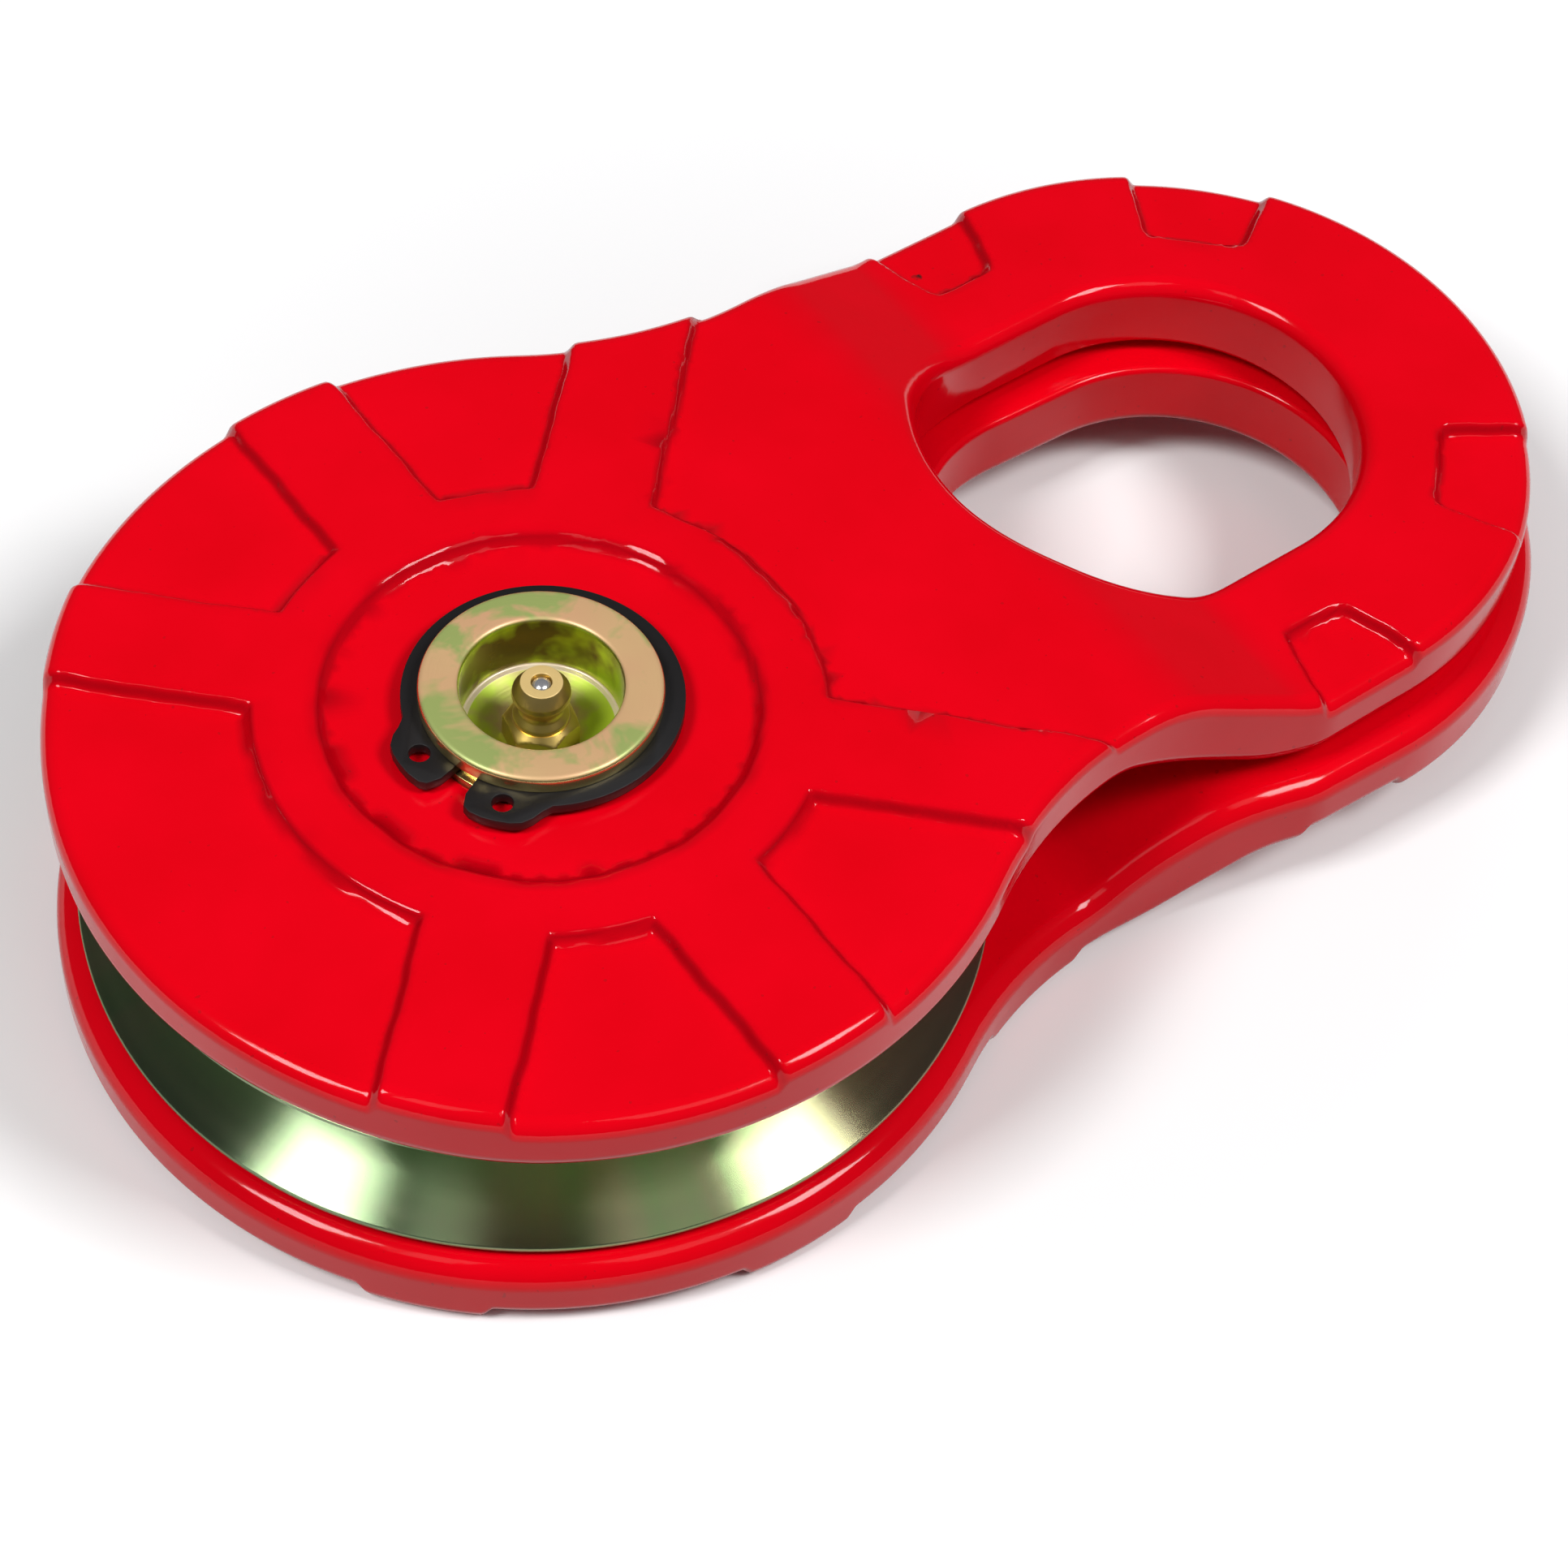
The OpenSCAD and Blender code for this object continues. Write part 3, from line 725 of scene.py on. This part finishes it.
def pin_plating():
    """The same plating on the pin: its turned end is satin, pink gold with green patches.
    The wall of the hollow is dark and glossy with bright green streaks. The ledge at its foot is
    painted pale, as a painted highlight."""
    material, tree, shader, place = start_material("pin_zinc", 0.3, 1.0)
    lathe = use_group(tree, LATHE, place, Pitch_Scale=4200.0)
    skin = use_group(tree, SURFACE, place, Wave_Scale=300.0, Speck_Scale=1500.0)
    height = height_above(tree, place)
    patches = stretch(tree, noise(tree, place, 95.0, 4.0, 0.6, 0.5), 0.49, 0.59)
    streaks = stretch(tree, noise(tree, place, 150.0, 3.0), 0.43, 0.58)
    end = stretch(tree, height, (PIN_TOP - 0.35) * MM, (PIN_TOP - 0.15) * MM)
    radius = lathe.outputs["Radius"]
    hollow = stretch(tree, radius, (HOLLOW_RADIUS + 0.25) * MM, (HOLLOW_RADIUS + 0.05) * MM)
    bottom = stretch(tree, height, (HOLLOW_FLOOR + 0.3) * MM, (HOLLOW_FLOOR + 0.1) * MM)
    bottom = maths(tree, "MULTIPLY", bottom, hollow)
    # Painted highlight: the flat ledge round the foot of the hollow is painted pale along its
    # corner.
    outer_edge = stretch(tree, radius, (LEDGE_RADIUS - 0.1) * MM, LEDGE_RADIUS * MM)
    ledge = maths(tree, "MULTIPLY", bottom, outer_edge)
    satin = maths(tree, "MAXIMUM", end, bottom)
    face = mix_colour(tree, skin.outputs["Mottle"], PIN_PINK, PIN_GOLD)
    face = mix_colour(tree, patches, face, PIN_GREEN)
    colour = mix_colour(tree, end, PIN_SIDE, face)
    streaked_wall = mix_colour(tree, streaks, HOLLOW_DARK, HOLLOW_BRIGHT)
    colour = mix_colour(tree, hollow, colour, streaked_wall)
    streaked_bottom = mix_colour(tree, streaks, BOTTOM_PINK, BOTTOM_GREEN)
    colour = mix_colour(tree, bottom, colour, streaked_bottom)
    colour = mix_colour(tree, ledge, colour, PIN_LEDGE_HIGHLIGHT)
    join(tree, colour, shader.inputs["Base Color"])
    glossy = stretch(tree, satin, 0, 1, 0.9, 0.28)
    wall = maths(tree, "SUBTRACT", hollow, bottom, clamp=True)
    metallic = maths(tree, "SUBTRACT", glossy, maths(tree, "MULTIPLY", wall, 0.25))
    join(tree, metallic, shader.inputs["Metallic"])
    join(tree, stretch(tree, satin, 0, 1, 0.22, 0.38), shader.inputs["Roughness"])
    bumps = maths(tree, "ADD", lathe.outputs["Height"],
                  maths(tree, "MULTIPLY", skin.outputs["Height"], 0.3))
    add_bump(tree, shader, bumps, 0.000014)
    return material


def nipple_plating():
    """Yellow plating: bright and satin on the turned end, darker and glossy on the sides."""
    material, tree, shader, place = start_material("nipple_plating", 0.2, 1.0)
    skin = use_group(tree, SURFACE, place, Wave_Scale=900.0, Speck_Scale=2000.0)
    end = stretch(tree, height_above(tree, place), (NIPPLE_TOP - 0.12) * MM,
                  (NIPPLE_TOP - 0.04) * MM)
    side = mix_colour(tree, skin.outputs["Mottle"], NIPPLE_DARK, NIPPLE_GOLD)
    join(tree, mix_colour(tree, end, side, NIPPLE_END), shader.inputs["Base Color"])
    join(tree, stretch(tree, end, 0, 1, 0.92, 0.25), shader.inputs["Metallic"])
    join(tree, stretch(tree, end, 0, 1, 0.28, 0.40), shader.inputs["Roughness"])
    add_bump(tree, shader, skin.outputs["Height"], 0.000006)
    return material


def plain_metal(name, colour, darker, roughness, scale, metallic=1.0, bump=0.00001):
    """Metal with a fine uneven skin: black oxide, bronze or bright steel."""
    material, tree, shader, place = start_material(name, roughness, metallic)
    skin = use_group(tree, SURFACE, place, Wave_Scale=scale, Speck_Scale=2000.0)
    mottle = skin.outputs["Mottle"]
    join(tree, mix_colour(tree, mottle, darker, colour), shader.inputs["Base Color"])
    join(tree, stretch(tree, mottle, 0, 1, roughness + 0.08, max(roughness - 0.05, 0.03)),
         shader.inputs["Roughness"])
    add_bump(tree, shader, skin.outputs["Height"], bump)
    return material


# Colours, as linear red, green and blue. The chip's place is in metres.
RED = (0.80, 0.0, 0.008)
RED_DEEP = (0.74, 0.0, 0.006)
# Painted shade on the walls of the relief.
RED_WALL_SHADE = (0.20, 0.0, 0.004)
CHIP = (0.05, 0.01, 0.01)
CHIP_PLACE = (0.0882, 0.0408, 0.0301)
PIN_PINK = (0.78, 0.44, 0.24)
PIN_GOLD = (0.78, 0.52, 0.25)
PIN_GREEN = (0.40, 0.48, 0.15)
PIN_SIDE = (0.62, 0.50, 0.20)
# Painted highlight on the ledge in the pin's hollow.
PIN_LEDGE_HIGHLIGHT = (0.80, 0.66, 0.50)
HOLLOW_DARK = (0.17, 0.13, 0.02)
HOLLOW_BRIGHT = (0.50, 0.66, 0.03)
BOTTOM_PINK = (0.46, 0.34, 0.14)
BOTTOM_GREEN = (0.46, 0.62, 0.03)
NIPPLE_DARK = (0.62, 0.42, 0.10)
NIPPLE_GOLD = (0.80, 0.58, 0.20)
NIPPLE_END = (0.84, 0.60, 0.24)
SHEAVE_GREEN = (0.17, 0.25, 0.14)
SHEAVE_BROWN = (0.36, 0.26, 0.17)

enamel = red_enamel()
sheave_zinc = chromated_zinc(
    "sheave_zinc", pale=(0.40, 0.40, 0.27), gold=(0.30, 0.30, 0.16), green=(0.20, 0.31, 0.13),
    roughness=0.24, anisotropy=1.0, pitch=3200.0, bump=0.000004)
black_oxide = plain_metal(
    "black_oxide", colour=(0.013, 0.011, 0.011), darker=(0.007, 0.007, 0.008),
    roughness=0.42, scale=700.0, metallic=0.0)
bright_steel = plain_metal(
    "bright_steel", colour=(0.82, 0.82, 0.84), darker=(0.74, 0.74, 0.76),
    roughness=0.16, scale=900.0, metallic=0.8, bump=0.000002)
bronze = plain_metal(
    "bush_bronze", colour=(0.66, 0.44, 0.20), darker=(0.52, 0.33, 0.14),
    roughness=0.34, scale=600.0)
spring_wire = plain_metal(
    "spring_wire", colour=(0.60, 0.60, 0.62), darker=(0.48, 0.48, 0.50),
    roughness=0.28, scale=1200.0)

blank = plate_blank()
forge_plate(blank, "upper_plate", UPPER_EYE_DROP, False, "swing_cheek", "upper_side_plate")
forge_plate(blank, "lower_plate", LOWER_EYE_DROP, True, "fixed_cheek", "lower_side_plate")
bpy.data.meshes.remove(blank)

# Sheave: rim, rope groove and hub, in one turned profile.
RIM = sheave_high.x
RIM_GAP = 0.9
RIM_LOW, RIM_HIGH = PLATE_THICKNESS + RIM_GAP, INNER_FACE - RIM_GAP
HUB_LOW, HUB_HIGH = sheave_low.z, sheave_high.z
BUSH_RADIUS = BORE_RADIUS + 3.7
HUB_RADIUS = 26.0
WEB_RECESS = 2
GROOVE_RADIUS = 5.0
GROOVE_CENTRE = 39.5 + GROOVE_RADIUS
LIP = 0.8
MOUTH = (RIM_HIGH - RIM_LOW) / 2 - LIP
groove = [(GROOVE_CENTRE - GROOVE_RADIUS * math.cos(t), MIDDLE + GROOVE_RADIUS * math.sin(t))
          for t in np.radians(np.linspace(-74, 74, 25))]
lip_low = rounded(
    [(GROOVE_CENTRE - 1, RIM_LOW), (RIM, RIM_LOW), (RIM, MIDDLE - MOUTH), groove[0]],
    [0, 0.35, 0.35, 0])
lip_high = [(r, TOP - z) for r, z in reversed(lip_low)]
web_low = [(BUSH_RADIUS, HUB_LOW), (HUB_RADIUS, HUB_LOW), (HUB_RADIUS + 1, RIM_LOW + WEB_RECESS),
           (GROOVE_CENTRE - 3, RIM_LOW + WEB_RECESS)]
web_high = [(r, TOP - z) for r, z in reversed(web_low)]
turned("rope_sheave", web_low + lip_low[:-1] + groove + lip_high[1:] + web_high, 256,
       "wheel", sheave_zinc, "sheave")

# Bush, with a groove for grease inside.
GREASE_RADIUS, GREASE_HALF_WIDTH = 15.3, 2.5
turned("bronze_bush",
       [(BORE_RADIUS, HUB_LOW), (BUSH_RADIUS, HUB_LOW),
        (BUSH_RADIUS, HUB_HIGH), (BORE_RADIUS, HUB_HIGH),
        (BORE_RADIUS, MIDDLE + GREASE_HALF_WIDTH), (GREASE_RADIUS, MIDDLE + GREASE_HALF_WIDTH),
        (GREASE_RADIUS, MIDDLE - GREASE_HALF_WIDTH), (BORE_RADIUS, MIDDLE - GREASE_HALF_WIDTH)],
       128, "wheel", bronze, "sheave_bush")

# Axle pin: flanged head, groove for the retaining ring and a hollow end.
PIN_TOP = pin_high.z
HOLLOW_RADIUS = 9.5
HOLLOW_FLOOR = PIN_TOP - 8
LEDGE_RADIUS = 8.8
NIPPLE_SEAT = HOLLOW_FLOOR - 2.1
NIPPLE_LENGTH = 10.3
NIPPLE_TOP = NIPPLE_SEAT + NIPPLE_LENGTH
RING_THICKNESS = 1.5
RING_Z = TOP - RING_THICKNESS / 2
RING_GROOVE_RADIUS = 13.4
RING_GROOVE_LOW, RING_GROOVE_HIGH = RING_Z - 0.05, RING_Z + RING_THICKNESS + 0.05
# Radius, height and rounding of each corner, from the head to the hollow.
pin_corners = [
    (0, 0, 0), (HEAD_RADIUS, 0, 0.6), (HEAD_RADIUS, HEAD_THICKNESS, 0),
    (PIN_RADIUS, HEAD_THICKNESS, 0), (PIN_RADIUS, RING_GROOVE_LOW, 0.1),
    (RING_GROOVE_RADIUS, RING_GROOVE_LOW, 0), (RING_GROOVE_RADIUS, RING_GROOVE_HIGH, 0),
    (PIN_RADIUS, RING_GROOVE_HIGH, 0.1), (PIN_RADIUS, PIN_TOP, 0.75),
    (HOLLOW_RADIUS, PIN_TOP, 0.7), (HOLLOW_RADIUS, HOLLOW_FLOOR, 0.3),
    (LEDGE_RADIUS, HOLLOW_FLOOR, 0.2), (5.4, NIPPLE_SEAT, 0), (0, NIPPLE_SEAT, 0)]
turned("hollow_pin", rounded([c[:2] for c in pin_corners], [c[2] for c in pin_corners]), 160,
       "fixed_cheek", pin_plating(), "axle_pin")


def retaining_ring():
    """Ring stamped from sheet: an open outline with two lugs, each with a hole."""
    gap, lug_end = math.radians(6), math.radians(39.5)
    inner_radius, outer_radius, offset = 13.42, 16.5, 0.4
    hole_radius, hole_distance, hole_angle = 1.25, 16.3, math.radians(21.3)
    gap_direction = math.radians(199)
    # Angle in degrees and radius of each point along a lug.
    lug = [(6.0, inner_radius), (6.1, 16.7), (8.2, 18.3), (11, 18.8), (16, 19), (21, 19),
           (26, 18.95), (30, 18.7), (34, 17.9), (37, 17.0)]
    start = [(r * math.cos(math.radians(a)), r * math.sin(math.radians(a))) for a, r in lug]
    outer = [(-offset + outer_radius * math.cos(a), outer_radius * math.sin(a))
             for a in np.linspace(lug_end + 0.02, 2 * math.pi - lug_end - 0.02, 72)]
    end = [(x, -y) for x, y in reversed(start)]
    inner = [(inner_radius * math.cos(a), inner_radius * math.sin(a))
             for a in np.linspace(2 * math.pi - gap, gap, 80)[1:-1]]
    outline = start + outer + end + inner
    bm = bmesh.new()
    loops = [outline]
    for side in (-1, 1):
        a = side * hole_angle
        loops.append([(hole_distance * math.cos(a) + hole_radius * math.cos(t),
                       hole_distance * math.sin(a) + hole_radius * math.sin(t))
                      for t in np.linspace(0, 2 * math.pi, 24, endpoint=False)])
    edges = []
    for loop in loops:
        edges += closed_loop(bm, [bm.verts.new((x, y, RING_Z)) for x, y in loop])
    bmesh.ops.triangle_fill(bm, use_beauty=True, edges=edges)
    bmesh.ops.dissolve_limit(bm, angle_limit=0.01, verts=bm.verts, edges=bm.edges,
                             use_dissolve_boundaries=False)
    top = bmesh.ops.extrude_face_region(bm, geom=bm.faces[:], use_keep_orig=True)["geom"]
    bmesh.ops.translate(bm, vec=(0, 0, RING_THICKNESS),
                        verts=[g for g in top if isinstance(g, bmesh.types.BMVert)])
    rim = [e for e in bm.edges if len(e.link_faces) == 2 and e.calc_face_angle(0) > 1.2
           and abs(e.verts[0].co.z - e.verts[1].co.z) < 1e-6]
    bmesh.ops.bevel(bm, geom=rim, offset=0.14, offset_type="OFFSET", segments=2, profile=0.5,
                    affect="EDGES", material=-1, clamp_overlap=True)
    bmesh.ops.rotate(bm, cent=(0, 0, 0), matrix=Matrix.Rotation(gap_direction, 3, "Z"),
                     verts=bm.verts)
    add_piece(finish_mesh(bm, "snap_ring"), "fixed_cheek", black_oxide, "retaining_ring")


retaining_ring()


def add_hexagon(bm):
    """The nipple's hexagon, as rings from its foot over the chamfer to the barrel."""
    half_flats, corner, corner_height, hex_height, shoulder = 4.0, 4.62, 3.1, 4.15, 3.45
    foot, under_barrel, past_corners, turn = 0.02, 3.3, 9.0, math.radians(17)
    angles = np.linspace(0, 2 * math.pi, 96, endpoint=False)
    hexagon = half_flats / np.cos((angles % (math.pi / 3)) - math.pi / 6)
    rings = [(under_barrel, foot), (past_corners, foot), (past_corners, corner_height)]
    rings += [(corner - (corner - shoulder) * t, corner_height + (hex_height - corner_height) * t)
              for t in np.linspace(0.1, 1, 9)]
    rings += [(under_barrel, hex_height)]
    first = [bm.verts.new((0, 0, 0)) for _ in angles]
    edges = closed_loop(bm, first)
    order = {v: i for i, v in enumerate(first)}
    for level, (limit, z) in enumerate(rings):
        if level:
            edges, verts = extruded(bm, edges)
            order = {v: order[e.other_vert(v)] for v in verts for e in v.link_edges
                     if e.other_vert(v) in order}
        radii = np.minimum(hexagon, limit)
        for v, i in order.items():
            a = angles[i] + turn
            v.co = (radii[i] * math.cos(a), radii[i] * math.sin(a), NIPPLE_SEAT + z)


def grease_nipple():
    """Nipple: a turned body with a mouth for the ball, and a chamfered hexagon round it."""
    # Radius and height above the seat of each corner, and then the corners' rounding.
    body = [(0.8, -5.4), (2.6, -5.4), (3.1, -4.9), (3.1, 0.5), (3.35, 2.7), (3.35, 4.7),
            (2.62, 5.5), (2.55, 6.1), (3.5, 8.1), (3.42, 8.8), (2.45, NIPPLE_LENGTH),
            (MOUTH_RADIUS, NIPPLE_LENGTH), (MOUTH_RADIUS, MOUTH_SEAT), (1.5, MOUTH_SEAT),
            (1.5, SPRING_SEAT), (0.8, SPRING_SEAT)]
    radii = [0, 0.2, 0.2, 0, 0.4, 0.5, 0.5, 0.3, 0.3, 0.3, 0.12, 0.1, 0, 0, 0, 0]
    bm = spun([(r, NIPPLE_SEAT + z) for r, z in rounded(body, radii)], 72)
    add_hexagon(bm)
    add_piece(finish_mesh(bm, "nipple_body", 25), "fixed_cheek", nipple_plating(),
              "grease_nipple")


# Heights in the nipple, above its seat in the pin, of the edge that holds the ball and of
# the ledge that the spring stands on.
MOUTH_RADIUS, MOUTH_SEAT, SPRING_SEAT = 1.25, 9.6, 3.0
grease_nipple()

# Ball and spring in the nipple's mouth.
BALL_RADIUS, WIRE = 1.45, 0.22
BALL_Z = NIPPLE_SEAT + MOUTH_SEAT - math.sqrt(BALL_RADIUS ** 2 - MOUTH_RADIUS ** 2)
ball = bmesh.new()
bmesh.ops.create_uvsphere(ball, u_segments=40, v_segments=24, radius=BALL_RADIUS - 0.01,
                          matrix=Matrix.Translation((0, 0, BALL_Z)))
add_piece(finish_mesh(ball, "steel_ball"), "fixed_cheek", bright_steel, "nipple_ball")

COIL = BALL_RADIUS - WIRE - 0.15
SPRING_LOW = NIPPLE_SEAT + SPRING_SEAT + WIRE + 0.02
SPRING_HIGH = BALL_Z - math.sqrt((BALL_RADIUS + WIRE) ** 2 - COIL ** 2) - 0.02
SPRING_TURNS, SPRING_STEPS = 4, 112
spring = bmesh.new()
wire = bmesh.ops.create_circle(spring, segments=10, radius=WIRE, cap_ends=True)["verts"]
bmesh.ops.rotate(spring, cent=(0, 0, 0), matrix=Matrix.Rotation(math.pi / 2, 3, "X"),
                 verts=wire)
bmesh.ops.translate(spring, vec=(COIL, 0, SPRING_LOW), verts=wire)
bmesh.ops.spin(spring, geom=spring.verts[:] + spring.edges[:] + spring.faces[:],
               cent=(0, 0, 0), axis=(0, 0, 1), angle=SPRING_TURNS * 2 * math.pi,
               dvec=(0, 0, (SPRING_HIGH - SPRING_LOW) / SPRING_STEPS), steps=SPRING_STEPS,
               use_merge=False, use_normal_flip=False, use_duplicate=False)
add_piece(finish_mesh(spring, "coil_spring"), "fixed_cheek", spring_wire, "nipple_spring")

# Floor, world, lamps and camera.
FLOOR_SHADE = 0.32
BLOCK_MIDDLE = (0.044, 0, 0)
floor = bmesh.new()
bmesh.ops.create_grid(floor, x_segments=1, y_segments=1, size=3)
floor_mesh = bpy.data.meshes.new("floor")
floor.to_mesh(floor_mesh)
floor.free()
floor_object = bpy.data.objects.new("floor", floor_mesh)
bpy.context.scene.collection.objects.link(floor_object)


def pale_floor():
    """Matt pale floor with a faint unevenness. To the eye it's white, and away from the block
    it fades into a white backdrop. It keeps the block's shadow."""
    material, tree, shader, place = start_material("pale_floor", 0.7)
    shade = stretch(tree, noise(tree, place, 3.0), 0.3, 0.7, FLOOR_SHADE - 0.01,
                    FLOOR_SHADE + 0.01)
    colour = node(tree, "CombineColor")
    for socket in colour.inputs:
        join(tree, shade, socket)
    join(tree, colour.outputs[0], shader.inputs["Base Color"])
    shader.inputs["Specular IOR Level"].default_value = 0.0
    seen = node(tree, "BsdfDiffuse")
    seen.inputs["Color"].default_value = (0.93, 0.93, 0.93, 1)
    glow = node(tree, "Emission")
    distance = node(tree, "VectorMath", operation="DISTANCE")
    join(tree, place, distance.inputs[0])
    distance.inputs[1].default_value = BLOCK_MIDDLE
    fade = stretch(tree, distance.outputs["Value"], 0.08, 0.45, 0.0, 0.7)
    join(tree, fade, glow.inputs["Strength"])
    both = node(tree, "AddShader")
    join(tree, seen.outputs[0], both.inputs[0])
    join(tree, glow.outputs[0], both.inputs[1])
    path = node(tree, "LightPath")
    eye = maths(tree, "MAXIMUM", path.outputs["Is Camera Ray"], path.outputs["Is Glossy Ray"])
    eye = maths(tree, "MAXIMUM", eye, path.outputs["Is Transmission Ray"])
    mixed = node(tree, "MixShader")
    join(tree, eye, mixed.inputs[0])
    join(tree, shader.outputs[0], mixed.inputs[1])
    join(tree, both.outputs[0], mixed.inputs[2])
    join(tree, mixed.outputs[0], tree.nodes["Material Output"].inputs["Surface"])
    return material


floor_mesh.materials.append(pale_floor())

world = bpy.data.worlds.new("studio")
bpy.context.scene.world = world
world.use_nodes = True
sky = world.node_tree.nodes["Background"]
sky.inputs["Color"].default_value = (0.9, 0.92, 1.0, 1)
sky.inputs["Strength"].default_value = 0.08


def softbox(name, azimuth, elevation, distance, width, height, watts):
    """A rectangular lamp that looks at the middle of the block."""
    a, e = math.radians(azimuth), math.radians(elevation)
    centre = Vector((0.03, 0, 0.02))
    away = Vector((math.cos(e) * math.cos(a), math.cos(e) * math.sin(a), math.sin(e)))
    lamp = bpy.data.lights.new(name, "AREA")
    lamp.shape = "RECTANGLE"
    lamp.size, lamp.size_y = width, height
    lamp.energy = watts
    holder = bpy.data.objects.new(name, lamp)
    holder.location = centre + away * distance
    holder.rotation_euler = away.to_track_quat("Z", "Y").to_euler()
    bpy.context.scene.collection.objects.link(holder)


softbox("left_softbox", 176, 55, 1.8, 0.44, 0.55, 18.8)
softbox("right_softbox", 304, 54, 1.8, 0.44, 0.55, 18.8)
softbox("front_panel_left", 208, 60, 1.8, 0.28, 0.6, 0.9)
softbox("front_panel_right", 269, 60, 1.8, 0.50, 0.6, 1.5)

# The camera that was fitted to the photograph.
camera_data = bpy.data.cameras.new("camera")
camera = bpy.data.objects.new("camera", camera_data)
bpy.context.scene.collection.objects.link(camera)
camera.location = Vector((-159.56, -230.41, 345.88 + TOP)) * MM
camera.rotation_euler = [math.radians(a) for a in (39.298, -4.5287, -37.4523)]
camera_data.sensor_width = 36
camera_data.lens = 87.85
camera_data.shift_x = -0.06936
camera_data.shift_y = -0.06004
camera_data.clip_start = 0.01
bpy.context.scene.camera = camera
bpy.context.scene.view_settings.view_transform = "Standard"
